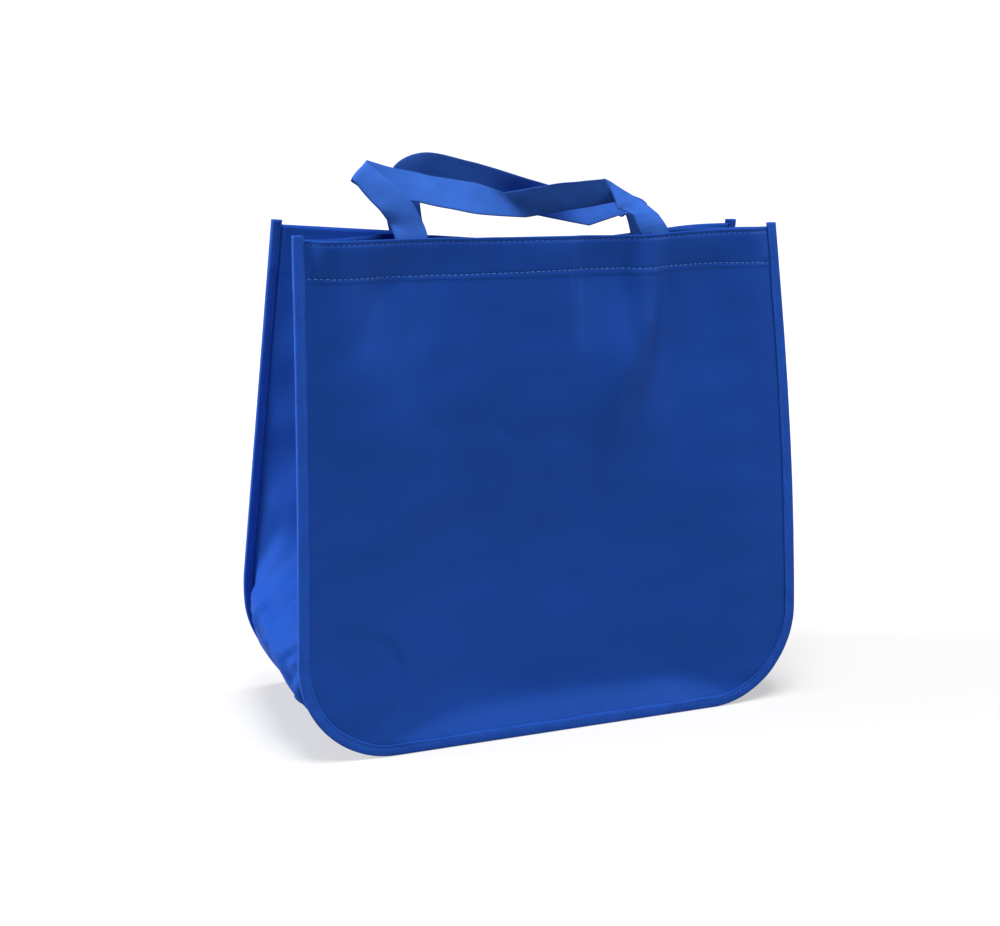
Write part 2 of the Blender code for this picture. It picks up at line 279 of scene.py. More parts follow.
def lower_bump(x, z):
    """The raised round patch in the lower left corner, with a crease round its right side."""
    away = np.hypot(x + 0.160, z - 0.052)
    turn = smooth(x, -0.148, -0.132) * (1.0 - smooth(z, 0.082, 0.094))
    push = 0.0011 * bump(away, 0.037, 0.0035) * turn
    return push + 0.030 * (z - 0.030) * (1.0 - smooth(away, 0.022, 0.048))


def right_patches(x, z):
    """Two shallow dents near the upper right corner, and one ridge near the right side."""
    push = 0.0014 * bump(x, 0.140, 0.016) * smooth(z, 0.292, 0.325) * (1.0 - smooth(z, 0.329, 0.350))
    push = push - 0.0008 * bump(x, 0.142, 0.016) * bump(z, 0.276 + 0.25 * (x - 0.142), 0.011)
    push = push + 0.0012 * smooth(x, 0.150, 0.176) * bump(z, 0.24, 0.07)
    return push


def front_detail(x, z):
    reach = corner_reach(x, z)
    inside = smooth(reach, BINDING_WIDTH, 0.035)
    push = seam_work(x, z, 11) + hem_lean(x, z) * smooth(reach, BINDING_WIDTH, 0.020)
    push = push + (wedge(x, z) + right_field(x, z) + under_hem(x, z) + right_patches(x, z)) * inside
    push = push + (dark_corner(x, z) + lower_bump(x, z)) * inside
    rounded = 1.0 - np.exp(-np.maximum(BASE_WIDTH / 2.0 - BINDING_WIDTH - np.abs(x), 0.0) / 0.030)
    upper = smooth(z, 0.06, 0.24) * (1.0 - 0.5 * smooth(x, -0.05, 0.10))
    push = push - 0.0030 * rounded * upper
    push = push + 0.00022 * inside * ripple(x, z, 3, 6, 0.035, 0.09)
    push = push + crease(x, z, ((-0.100, 0.236), (-0.085, 0.222)), 0.003, 0.0004)
    push = push + crease(x, z, ((-0.045, 0.228), (-0.028, 0.215)), 0.003, 0.0004)
    return push


def back_form(x, z):
    rise = smooth(z / HEIGHT, 0.22, 1.05) / smooth(1.0, 0.22, 1.05)
    across = middle(x) ** np.where(x < 0.0, BOW_LEFT, 1.0)
    return BACK_BOW * across * rise ** 1.2


def back_detail(x, z):
    inside = smooth(corner_reach(x, z), BINDING_WIDTH, 0.035)
    push = seam_work(x, z, 23)
    push = push + 0.0006 * inside * ripple(x, z, 7, 6, 0.05, 0.12)
    push = push + crease(x, z, ((0.150, 0.095), (0.118, 0.050)), 0.007, 0.0015)
    push = push + crease(x, z, ((-0.140, 0.300), (-0.090, 0.215)), 0.009, 0.0012)
    push = push + crease(x, z, ((0.120, 0.290), (0.070, 0.200)), 0.010, -0.0012)
    return push


def front_point(x, z, detail=True):
    v = z / HEIGHT
    wide = lerp(1.0, TOP_WIDTH / BASE_WIDTH, v)
    size = np.where(x > 0.0, EDGE_BULGE, EDGE_HOLLOW)
    bulge = size * np.sin(np.pi * np.clip(v, 0.0, 1.0)) * np.abs(2.0 * x / BASE_WIDTH) ** 3
    sag = (0.0017 * middle(x) + 0.0017 * bump(x, 0.20 * BASE_WIDTH, 0.125 * BASE_WIDTH)) * v * v
    y = lerp(-BASE_DEPTH / 2.0, -FRONT_TOP_Y, v) + front_form(x, z)
    if detail:
        y = y + front_detail(x, z)
    return np.stack([x * wide + bulge, y, z - sag], -1)


def back_point(x, z, detail=True):
    v = z / HEIGHT
    wide = lerp(1.0, TOP_WIDTH / BASE_WIDTH, v)
    sag = (BACK_SAG * middle(x) + BACK_DIP * bump(x, -0.35 * BASE_WIDTH, 0.085 * BASE_WIDTH)) * v ** 4
    tuck = CORNER_TUCK * smooth(-x / BASE_WIDTH, 0.28, 0.46) * smooth(CORNER_RADIUS - z, -0.025, 0.045)
    tilt = BACK_TILT * v * 2.0 * x / BASE_WIDTH
    y = lerp(BASE_DEPTH / 2.0, BACK_TOP_Y, v) - back_form(x, z)
    if detail:
        y = y - back_detail(x, z)
    return np.stack([x * wide + BACK_SKEW * v + tuck, y, z - sag - tilt + 0.15 * tuck], -1)


def on_panel(side, x, z, inward=0.0, detail=True):
    """Points of the front (side -1) or back (side 1) sheet, moved into the bag."""
    x, z, inward = np.broadcast_arrays(*(np.asarray(v, float) for v in (x, z, inward)))
    point = front_point(x, z, detail) if side < 0 else back_point(x, z, detail)
    point[..., 1] -= side * inward
    return point


def behind(z):
    """Depth of the gusset's turned edge behind the sheet: one layer more behind the hem."""
    return LAYER * (1.0 + smooth(z, HEIGHT - HEM_DEPTH - 0.0075, HEIGHT - HEM_DEPTH - 0.0025))


def seam_path(top, spacing):
    """Places round the seam from the left rim, under the base, to the right rim."""
    rows = max(int((top - CORNER_RADIUS) / spacing), 2)
    arc = max(int(CORNER_RADIUS * math.pi / 2.0 / spacing), 8)
    flat = BASE_WIDTH / 2.0 - CORNER_RADIUS
    base = int(2.0 * flat / spacing)
    places = [("side", -1, lerp(top, CORNER_RADIUS, i / rows)) for i in range(rows)]
    places += [("arc", -1, math.pi / 2.0 * i / arc) for i in range(arc)]
    places += [("base", 0, lerp(-flat, flat, i / base)) for i in range(base)]
    places += [("arc", 1, math.pi / 2.0 * (1.0 - i / arc)) for i in range(arc)]
    return places + [("side", 1, lerp(CORNER_RADIUS, top, i / rows)) for i in range(rows + 1)]


def place_at(place, inset):
    """The flat panel's x and z at this place on the seam, inset from the binding's edge."""
    kind, way, value = place
    inset = np.asarray(inset, float)
    if kind == "side":
        return way * (BASE_WIDTH / 2.0 - inset), np.full(inset.shape, value)
    if kind == "base":
        return np.full(inset.shape, value), inset
    reach = CORNER_RADIUS - inset
    x = BASE_WIDTH / 2.0 - CORNER_RADIUS + reach * math.cos(value)
    return way * x, CORNER_RADIUS - reach * math.sin(value)


def outward(place):
    kind, way, value = place
    if kind == "side":
        return np.array([way, 0.0, 0.0])
    if kind == "base":
        return np.array([0.0, 0.0, -1.0])
    return np.array([way * math.cos(value), 0.0, -math.sin(value)])


def path_length(places):
    """How far along the seam each place is, measured on the flat panel."""
    points = np.array([place_at(p, np.array(0.0)) for p in places])
    steps = np.linalg.norm(np.diff(points, axis=0), axis=1)
    return np.concatenate([[0.0], np.cumsum(steps)])


def add_piece(name, points, faces, flat, look):
    """A smooth mesh that rides on the bag, with its flat fabric coordinates kept on it."""
    mesh = bpy.data.meshes.new(name)
    mesh.from_pydata((np.asarray(points) + SHIFT).tolist(), [], faces)
    mesh.attributes.new("flat", "FLOAT_VECTOR", "POINT").data.foreach_set(
        "vector", np.asarray(flat, np.float32).ravel()
    )
    mesh.polygons.foreach_set("use_smooth", [True] * len(mesh.polygons))
    mesh.materials.append(look)
    mesh.validate()
    made = bpy.data.objects.new(name, mesh)
    bpy.context.scene.collection.objects.link(made)
    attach(made, "root")
    return made


def signed_volume(points, faces):
    points = np.asarray(points)
    total = 0.0
    quads = np.array([f for f in faces if len(f) == 4])
    if len(quads):
        a, b, c, d = (points[quads[:, i]] for i in range(4))
        total += np.einsum("ij,ij->", a, np.cross(b, c)) + np.einsum("ij,ij->", a, np.cross(c, d))
    return total


def facing_out(points, faces):
    return faces if signed_volume(points, faces) > 0.0 else [tuple(reversed(f)) for f in faces]


def shell_faces(rows, cols):
    other = rows * cols
    faces = []
    for i in range(rows - 1):
        for j in range(cols - 1):
            a = i * cols + j
            faces.append((a, a + 1, a + cols + 1, a + cols))
            faces.append((other + a + cols, other + a + cols + 1, other + a + 1, other + a))
    ring = list(range(cols - 1))
    ring += [i * cols + cols - 1 for i in range(rows - 1)]
    ring += [(rows - 1) * cols + j for j in range(cols - 1, 0, -1)]
    ring += [i * cols for i in range(rows - 1, 0, -1)]
    for k, a in enumerate(ring):
        b = ring[(k + 1) % len(ring)]
        faces.append((b, a, other + a, other + b))
    return faces


def shell(name, near, far, flat, look):
    """One closed body between two grids of points of the same size."""
    rows, cols = near.shape[:2]
    points = np.concatenate([near.reshape(-1, 3), far.reshape(-1, 3)])
    both = np.concatenate([flat.reshape(-1, 3), flat.reshape(-1, 3)])
    faces = facing_out(points, shell_faces(rows, cols))
    return add_piece(name, points, faces, both, look)


def tube(name, rings, flat, look):
    """One closed body through rings of points, capped at both ends."""
    count, size = rings.shape[:2]
    faces = []
    for i in range(count - 1):
        for j in range(size):
            a = i * size + j
            b = i * size + (j + 1) % size
            faces.append((a, b, b + size, a + size))
    faces.append(tuple(range(size - 1, -1, -1)))
    faces.append(tuple(range((count - 1) * size, count * size)))
    points = rings.reshape(-1, 3)
    return add_piece(name, points, facing_out(points, faces), flat.reshape(-1, 3), look)


def grid_normals(grid):
    along = np.gradient(grid, axis=0)
    across = np.gradient(grid, axis=1)
    normal = np.cross(along, across)
    return normal / np.linalg.norm(normal, axis=2, keepdims=True)


def panel_columns(inset, count, arc):
    """x and lowest z of each column of the panel, left to right."""
    corner = [place_at(("arc", -1, math.pi / 2.0 * i / arc), np.array(inset)) for i in range(arc)]
    flat = BASE_WIDTH / 2.0 - CORNER_RADIUS
    columns = [(float(x), float(z)) for x, z in corner]
    columns += [(lerp(-flat, flat, i / count), inset) for i in range(count + 1)]
    columns += [(-x, z) for x, z in reversed(columns[:arc])]
    return np.array(columns)


def panel_rows(x, low, top, rows):
    """Heights of each row of the panel, close together where the stitching runs."""
    fixed = 0.300
    heights = [lerp(low, fixed, (i / rows) ** 1.15) for i in range(rows)]
    marks = set(np.linspace(fixed, top, 18).round(5))
    for line in (HEIGHT - HEM_STITCH, HEIGHT - RIM_STITCH, HEIGHT - HEM_DEPTH):
        marks -= {m for m in marks if abs(m - line) < 0.0022}
        marks |= {line + step for step in (-0.0018, -0.0011, -0.0006, 0.0, 0.0006, 0.0011, 0.0018)}
    wander = stitch_z(x) - (HEIGHT - HEM_STITCH)
    return heights + [m + wander * bump(m, HEIGHT - HEM_STITCH, 0.004) for m in sorted(marks) if m <= top]


def build_panel(name, side, look, rows, count, arc):
    """One sheet whose top rolls over into the bag as the hem."""
    columns = panel_columns(EDGE_INSET, count, arc)
    x, low = columns[:, 0], columns[:, 1]
    half = SHEET / 2.0
    radius = LAYER / 2.0
    top = HEIGHT - LAYER
    outer, inner, flat = [], [], []
    for z in panel_rows(x, low, top, rows):
        outer.append(on_panel(side, x, z, -half))
        inner.append(on_panel(side, x, z, half))
        flat.append(np.stack([x, z, np.zeros_like(x)], -1))
    for angle in np.linspace(0.0, math.pi, 9)[1:-1]:
        for grid, reach in ((outer, radius + half), (inner, radius - half)):
            point = on_panel(side, x, np.full_like(x, top), radius - reach * math.cos(angle))
            point[:, 2] += reach * math.sin(angle)
            grid.append(point)
        flat.append(np.stack([x, np.full_like(x, top + radius * angle), np.zeros_like(x)], -1))
    for i in range(13):
        z = np.full_like(x, lerp(top, HEIGHT - HEM_DEPTH, i / 12.0))
        outer.append(on_panel(side, x, z, LAYER + half))
        inner.append(on_panel(side, x, z, LAYER - half))
        flat.append(np.stack([x, 2.0 * top - z, np.zeros_like(x)], -1))
    return shell(name, np.array(outer), np.array(inner), np.array(flat), look)


def clearance(x, z):
    """Half of the room between the two panels at this place."""
    return (back_point(x, z, False)[..., 1] - front_point(x, z, False)[..., 1]) / 2.0


def facet(along, across, ends, left, right, height):
    """A ridge line with its own width on each side, in metres on the flat gusset."""
    (s0, t0), (s1, t1) = ends
    length = math.hypot(s1 - s0, t1 - t0)
    ds, dt = (s1 - s0) / length, (t1 - t0) / length
    run = ((along - s0) * ds + (across - t0) * dt) / length
    side = (along - s0) * -dt + (across - t0) * ds
    fade = smooth(run, -0.20, 0.12) * (1.0 - smooth(run, 0.88, 1.20))
    slope = np.where(side > 0.0, 1.0 - side / left, 1.0 + side / right)
    return height * fade * np.maximum(slope, 0.0) ** 1.25


def left_creases(along, across):
    """Folds that the left gusset takes as it turns the lower corner, seen in the photo."""
    push = facet(along, across, ((0.274, 0.146), (0.281, 0.108)), 0.026, 0.010, 0.0044)
    push = push + facet(along, across, ((0.280, 0.112), (0.289, 0.070)), 0.028, 0.009, 0.0052)
    push = push + facet(along, across, ((0.288, 0.074), (0.291, 0.036)), 0.022, 0.008, 0.0046)
    push = push - facet(along, across, ((0.280, 0.010), (0.290, 0.030)), 0.006, 0.006, 0.0044)
    push = push - facet(along, across, ((0.296, 0.012), (0.310, 0.034)), 0.007, 0.007, 0.0036)
    push = push + facet(along, across, ((0.301, 0.006), (0.322, 0.022)), 0.007, 0.010, 0.0034)
    return push


def gusset_detail(place, along, t):
    """How far the gusset's skin stands out from its plain form, along its own normal."""
    kind, way, value = place
    fold = 1.0 - np.abs(2.0 * t - 1.0)
    inside = smooth(fold, 0.0, 0.18)
    soft = ripple(np.full_like(t, along), t * 0.16, 31 + way, 6, 0.045, 0.10)
    if kind == "base":
        return 0.0003 * soft * inside
    push = 0.0013 * soft * inside * smooth(along, 0.02, 0.10)
    across = t * BASE_DEPTH
    if way < 0:
        push = push + left_creases(np.full_like(t, along), across) * smooth(fold, 0.0, 0.08)
        push = push + 0.0022 * bump(along, 0.088, 0.022) * bump(across, 0.120, 0.030)
        push = push + 0.0024 * bump(along, 0.214, 0.026) * bump(across, 0.105, 0.026)
        push = push - 0.0016 * bump(along, 0.160, 0.014) * bump(across, 0.140, 0.016)
    low = smooth(along, 0.14, 0.24) * (1.0 - smooth(along, 0.265, 0.285)) * inside
    return push + 0.0010 * low * ripple(np.full_like(t, along), across, 37 + way, 5, 0.020, 0.045)


def gusset_section(place, along, steps):
    """Points of the gusset's middle across the bag, front edge to back edge."""
    insets = np.array([EDGE_INSET, 0.5 * (EDGE_INSET + FIN_INSET), FIN_INSET - SHEET])
    ex, ez = place_at(place, insets)
    depth = float(behind(ez[0]))
    turn = depth + LAYER
    front = on_panel(-1, ex, ez, depth)
    back = on_panel(1, ex, ez, depth)[::-1]
    tx, tz = (float(v) for v in place_at(place, np.array(TURN_INSET)))
    a = on_panel(-1, tx, tz, turn)
    b = on_panel(1, tx, tz, turn)
    out = outward(place)
    kind, way, value = place
    spread = 0.0
    if kind == "side":
        reach = BASE_DEPTH / 2.0
        gap = np.linalg.norm(b - a)
        fold_in = math.sqrt(max(reach * reach - gap * gap / 4.0, 0.0))
        spread = -fold_in * float(smooth(value, CORNER_RADIUS, CORNER_RADIUS * 1.9))
    drop = TURN_INSET - SHEET / 2.0
    if kind == "side":
        drop *= 1.0 - float(smooth(value, CORNER_RADIUS * 0.9, CORNER_RADIUS * 1.5))
    fold = 1.0 - np.abs(2.0 * steps - 1.0)
    hang = smooth(0.5 - np.abs(steps - 0.5), 0.0, 0.10)
    body = lerp(a, b, steps[:, None]) + out * (spread * fold + drop * hang)[:, None]
    if spread < 0.0:
        near = tx + out[0] * spread * fold
        tip = float(clearance(np.array(tx - out[0] * abs(spread)), np.array(tz)))
        inward = lerp(turn, tip, fold)
        first = on_panel(-1, near, np.full_like(near, tz), inward)[:, 1]
        last = on_panel(1, near, np.full_like(near, tz), inward)[:, 1]
        body[:, 1] = np.where(steps < 0.5, first, last)
    return np.concatenate([front, body, back])


def build_gusset(look):
    places = seam_path(HEIGHT, 0.0028)
    lengths = path_length(places)
    steps = np.concatenate([np.linspace(0.0, 0.06, 5), np.linspace(0.075, 0.47, 28), [0.485, 0.495, 0.5]])
    steps = np.concatenate([steps, 1.0 - steps[-2::-1]])
    grid = np.array([gusset_section(p, s, steps) for p, s in zip(places, lengths)])
    normal = grid_normals(grid)
    outs = np.array([outward(p) for p in places])
    facing = np.sign(np.einsum("ijk,ik->ij", normal, outs))[..., None]
    facing = np.where(facing == 0.0, 1.0, facing)
    for i, (place, s) in enumerate(zip(places, lengths)):
        move = np.zeros(grid.shape[1])
        move[3:-3] = gusset_detail(place, s, steps)
        grid[i] += normal[i] * np.sign(np.median(facing[i])) * move[:, None]
    grid[..., 2] = np.maximum(grid[..., 2], BASE_LIMIT)
    half = SHEET / 2.0
    normal = grid_normals(grid)
    fin = np.array([0.002, 0.006, 0.010])
    across = np.concatenate([-fin[::-1], steps * BASE_DEPTH, BASE_DEPTH + fin])
    flat = np.zeros(grid.shape)
    flat[..., 0] = across
    flat[..., 1] = lengths[:, None]
    return shell("gusset_sheet", grid + normal * half, grid - normal * half, flat, look)



def tape_section(inner, seed_wave):
    """The folded tape's outline as insets and inward depths, with its stitch channel."""
    face = []
    wide = BINDING_WIDTH + 0.00025 * seed_wave
    marks = [wide, 0.92 * wide, 0.0068, 0.0063, TAPE_STITCH, 0.0053, 0.0048, 0.0038, 0.0028, 0.0018, 0.0009]
    for at in marks:
        inset = at / wide
        crown = 0.00012 * math.sin(math.pi * inset) - 0.00028 * float(bump(at, TAPE_STITCH, 0.0007))
        face.append((max(at, 0.0004), -FACE - SHEET - crown))
    turn = [(0.0001, -FACE - SHEET + 0.00045), (0.0, 0.5 * (inner - FACE)), (0.0001, inner + SHEET - 0.00045)]
    inside = FIN_INSET - 2.0 * SHEET
    far = []
    for at in (0.0009, 0.0018, 0.0028, 0.0038, 0.0048, 0.0053, TAPE_STITCH, 0.0062, inside):
        inset = at / inside
        crown = 0.00010 * math.sin(math.pi * inset) - 0.00028 * float(bump(at, TAPE_STITCH, 0.0007))
        far.append((max(at, 0.0004), inner + SHEET + crown))
    lip = [(inside + 0.0001, inner + 0.5 * SHEET), (inside, inner), (0.5 * inside, inner), (SHEET, inner)]
    lip += [(SHEET, -FACE), (0.5 * wide, -FACE), (wide, -FACE), (wide + 0.0001, -FACE - 0.5 * SHEET)]
    return np.array(face + turn + far + lip)


def build_binding(name, side, look):
    places = [("side", -1, HEIGHT + BINDING_END), ("side", -1, HEIGHT + 0.5 * BINDING_END)]
    inside = seam_path(HEIGHT, 0.0028)
    places = places + inside + [("side", 1, p[2]) for p in reversed(places)]
    lengths = path_length(places)
    rings, flats = [], []
    for place, s in zip(places, lengths):
        wave = float(ripple(np.array(s), np.array(0.0), 41 + side, 5, 0.012, 0.05))
        inner = float(behind(place_at(place, np.array(0.0))[1])) + FACE
        section = tape_section(inner, wave)
        x, z = place_at(place, section[:, 0])
        rings.append(on_panel(side, x, z, section[:, 1]))
        girth = np.concatenate([[0.0], np.cumsum(np.linalg.norm(np.diff(section, axis=0), axis=1))])
        flats.append(np.stack([girth, np.full(len(girth), s), np.zeros(len(girth))], -1))
    return tube(name, np.array(rings), np.array(flats), look)


def sewn_stations(side, x, flip):
    inward = LAYER + SHEET / 2.0 + GAP + STRAP / 2.0
    flat = BASE_WIDTH / TOP_WIDTH
    across = np.array([-0.5, 0.5]) * flip * STRAP_WIDTH
    return [on_panel(side, flat * (x + across), np.full(2, z), inward, False) for z in SEWN_HEIGHTS]


def free_stations(rows):
    stations = []
    for one, other in rows:
        a = np.array(one, float) * 0.001
        b = np.array(other, float) * 0.001
        mid = (a + b) / 2.0 + np.array([0.0, 0.0, HEIGHT])
        half = (b - a) / np.linalg.norm(b - a) * STRAP_WIDTH / 2.0
        stations.append(np.array([mid - half, mid + half]))
    return stations


def strap_rails(stations, crisp, steps):
    """Fine rails between stations: rounded through the soft ones, straight at the crisp."""
    count = len(stations)
    tangents = []
    for i in range(count):
        before = stations[max(i - 1, 0)]
        after = stations[min(i + 1, count - 1)]
        tangents.append((after - before) * 0.5)
    rails, marks = [], []
    for i in range(count - 1):
        p, q = stations[i], stations[i + 1]
        first = (q - p) if i in crisp or i == 0 else tangents[i]
        last = (q - p) if i + 1 in crisp or i + 1 == count - 1 else tangents[i + 1]
        size = np.linalg.norm((q - p).mean(axis=0))
        number = max(2, int(round(size / steps)))
        for k in range(number):
            t = k / number
            h = (2 * t**3 - 3 * t**2 + 1, t**3 - 2 * t**2 + t, -2 * t**3 + 3 * t**2, t**3 - t**2)
            rails.append(h[0] * p + h[1] * first + h[2] * q + h[3] * last)
            marks.append(i + t)
    rails.append(stations[-1])
    marks.append(count - 1.0)
    return np.array(rails), np.array(marks)


def sewn_relief(side, marks, last, across, x, flip):
    """What the panel's relief adds to a strap's sewn end, fading out above the rim."""
    count = last - marks if flip[1] else marks
    z = np.interp(count, (0.0, 1.0, 2.0), SEWN_HEIGHTS)[:, None]
    flat = BASE_WIDTH / TOP_WIDTH * (x + flip[0] * (across - 0.5) * STRAP_WIDTH)[None, :]
    moved = on_panel(side, flat, z) - on_panel(side, flat, z, detail=False)
    return moved * (1.0 - smooth(count, 2.0, 3.3))[:, None, None]


def strap_grid(stations, crisp, seed, side, ends):
    rails, marks = strap_rails(stations, crisp, 0.0017)
    across = np.concatenate([[0.0, 0.02, 0.05, 0.10], np.linspace(0.16, 0.84, 11), [0.90, 0.95, 0.98, 1.0]])
    grid = rails[:, :1] * (1.0 - across[None, :, None]) + rails[:, 1:] * across[None, :, None]
    mid = rails.mean(axis=1)
    lengths = np.concatenate([[0.0], np.cumsum(np.linalg.norm(np.diff(mid, axis=0), axis=1))])
    flat = np.zeros(grid.shape)
    flat[..., 0] = across * STRAP_WIDTH
    flat[..., 1] = lengths[:, None]
    free = smooth(marks, 2.2, 3.4) * (1.0 - smooth(marks, len(stations) - 4.4, len(stations) - 3.2))
    relief = ripple(flat[..., 0], flat[..., 1], seed, 6, 0.018, 0.05)
    grid = grid + grid_normals(grid) * (0.00045 * relief * free[:, None])[..., None]
    last = len(stations) - 1.0
    for x, flip, far in ends:
        grid = grid + sewn_relief(side, marks, last, across, x, (flip, far))
    return grid, flat


def build_strap(name, side, rows, first_flip, last_flip, crisp, look, seed):
    offset = STRAP_OFFSET if side < 0 else BACK_STRAP_OFFSET
    left = offset - STRAP_SPACING / 2.0
    right = offset + STRAP_SPACING / 2.0
    start = sewn_stations(side, left, first_flip)
    end = sewn_stations(side, right, last_flip)
    stations = start + free_stations(rows) + end[::-1]
    ends = ((left, first_flip, False), (right, last_flip, True))
    grid, flat = strap_grid(stations, crisp, seed, side, ends)
    normal = grid_normals(grid)
    edge = np.minimum(flat[..., 0], STRAP_WIDTH - flat[..., 0])
    half = STRAP / 2.0 * (1.0 - 0.55 * np.exp(-((edge / 0.0005) ** 2)))[..., None]
    return shell(name, grid + normal * half, grid - normal * half, flat, look)


def stitch_row(points, normals, pitch, radius, start=0.0):
    """Short threads laid along a line of points, each dipping into the fabric at its ends."""
    points = np.asarray(points)
    normals = np.asarray(normals)
    steps = np.linalg.norm(np.diff(points, axis=0), axis=1)
    lengths = np.concatenate([[0.0], np.cumsum(steps)])
    made, faces, flat = [], [], []
    sides, rings = 6, 7
    count = int((lengths[-1] - start) / pitch)
    for k in range(count):
        first = start + k * pitch + 0.12 * pitch
        last = first + 0.76 * pitch
        for i in range(rings):
            share = i / (rings - 1)
            s = lerp(first, last, share)
            at = np.array([np.interp(s, lengths, points[:, c]) for c in range(3)])
            up = np.array([np.interp(s, lengths, normals[:, c]) for c in range(3)])
            up /= np.linalg.norm(up)
            ahead = np.array([np.interp(s + 1e-4, lengths, points[:, c]) for c in range(3)])
            behind_it = np.array([np.interp(s - 1e-4, lengths, points[:, c]) for c in range(3)])
            along = ahead - behind_it
            along /= np.linalg.norm(along)
            side = np.cross(along, up)
            bow = 1.0 - (2.0 * share - 1.0) ** 2
            size = radius * (0.35 + 0.65 * bow**0.5)
            centre = at + up * (radius * (1.5 * bow - 0.9))
            for j in range(sides):
                angle = 2.0 * math.pi * j / sides
                made.append(centre + size * (math.cos(angle) * side + 0.8 * math.sin(angle) * up))
                flat.append((angle * radius, s, 0.0))
        base = k * rings * sides
        for i in range(rings - 1):
            for j in range(sides):
                a = base + i * sides + j
                b = base + i * sides + (j + 1) % sides
                faces.append((a, b, b + sides, a + sides))
        faces.append(tuple(range(base + sides - 1, base - 1, -1)))
        tip = base + (rings - 1) * sides
        faces.append(tuple(range(tip, tip + sides)))
    return made, faces, flat


def add_stitches(name, rows, look):
    points, faces, flat = [], [], []
    for made, joined, coords in rows:
        offset = len(points)
        points += made
        faces += [tuple(offset + i for i in f) for f in joined]
        flat += coords
    points = np.array(points)
    return add_piece(name, points, facing_out(points, faces), flat, look)


def surface_line(side, x, z, inward, outer):
    """Points and outward normals along a line on a panel's face."""
    points = on_panel(side, x, z, inward)
    h = 0.0004
    ax = on_panel(side, x + h, z, inward) - on_panel(side, x - h, z, inward)
    az = on_panel(side, x, z + h, inward) - on_panel(side, x, z - h, inward)
    normal = np.cross(ax, az)
    normal /= np.linalg.norm(normal, axis=1, keepdims=True)
    want = side if outer else -side
    flip = np.where(normal[:, 1] * want < 0.0, -1.0, 1.0)
    return points, normal * flip[:, None]


def panel_stitches(name, side, look):
    edge = BASE_WIDTH / 2.0 - BINDING_WIDTH - 0.001
    x = np.linspace(-edge, edge, 400)
    rows = []
    for z in (stitch_z(x), np.full_like(x, HEIGHT - RIM_STITCH)):
        outer = surface_line(side, x, z, -SHEET / 2.0, True)
        inner = surface_line(side, x, z, LAYER + SHEET / 2.0, False)
        radius = HEM_THREAD if z[0] < HEIGHT - 0.010 else RIM_THREAD
        rows.append(stitch_row(*outer, STITCH_PITCH, radius))
        rows.append(stitch_row(*inner, STITCH_PITCH, THREAD, STITCH_PITCH / 2.0))
    return add_stitches(name, rows, look)


def tape_stitches(name, side, look):
    places = seam_path(HEIGHT - 0.001, 0.003)
    at = [place_at(p, np.array(TAPE_STITCH)) for p in places]
    x = np.array([p[0] for p in at], float)
    z = np.array([p[1] for p in at], float)
    deep = behind(z) + FACE + SHEET - THREAD
    outer = surface_line(side, x, z, -FACE - SHEET + THREAD, True)
    inner = surface_line(side, x, z, deep, False)
    rows = [stitch_row(*outer, STITCH_PITCH, THREAD)]
    rows.append(stitch_row(*inner, STITCH_PITCH, THREAD, STITCH_PITCH / 2.0))
    return add_stitches(name, rows, look)


class Look:
    """A material's node tree, built up by short calls."""

    def __init__(self, name):
        self.made = bpy.data.materials.new(name)
        self.made.use_nodes = True
        self.tree = self.made.node_tree
        self.shader = self.tree.nodes["Principled BSDF"]

    def put(self, socket, value):
        if isinstance(value, bpy.types.NodeSocket):
            self.tree.links.new(value, socket)
        else:
            socket.default_value = value

    def add(self, kind, inputs=(), **settings):
        node = self.tree.nodes.new(kind)
        for key, value in settings.items():
            setattr(node, key, value)
        for key, value in dict(inputs).items():
            self.put(node.inputs[key], value)
        return node

    def maths(self, operation, a, b=0.0):
        node = self.add("ShaderNodeMath", operation=operation)
        self.put(node.inputs[0], a)
        self.put(node.inputs[1], b)
        return node.outputs[0]

    def set(self, **values):
        for key, value in values.items():
            self.put(self.shader.inputs[key.replace("_", " ")], value)

    def flat(self):
        """The fabric's own coordinates, in metres: across and along."""
        source = self.add("ShaderNodeAttribute", attribute_name="flat")
        parts = self.add("ShaderNodeSeparateXYZ", {"Vector": source.outputs["Vector"]})
        return source.outputs["Vector"], parts.outputs["X"], parts.outputs["Y"]

    def noise(self, vector, scale, detail=2.0, roughness=0.5):
        node = self.add(
            "ShaderNodeTexNoise",
            {"Vector": vector, "Scale": scale, "Detail": detail, "Roughness": roughness},
        )
        return node.outputs["Fac"]

    def ramp(self, value, stops):
        node = self.add("ShaderNodeValToRGB", {"Fac": value})
        ramp = node.color_ramp
        ramp.elements[0].position, ramp.elements[0].color = stops[0][0], stops[0][1]
        ramp.elements[1].position, ramp.elements[1].color = stops[-1][0], stops[-1][1]
        for place, colour in stops[1:-1]:
            ramp.elements.new(place).color = colour
        return node.outputs["Color"]

    def bump(self, height, strength, distance, under=None):
        inputs = {"Height": height, "Strength": strength, "Distance": distance}
        if under is not None:
            inputs["Normal"] = under
        return self.add("ShaderNodeBump", inputs).outputs["Normal"]


def shade(colour, factor):
    return tuple(c * factor for c in colour[:3]) + (1.0,)


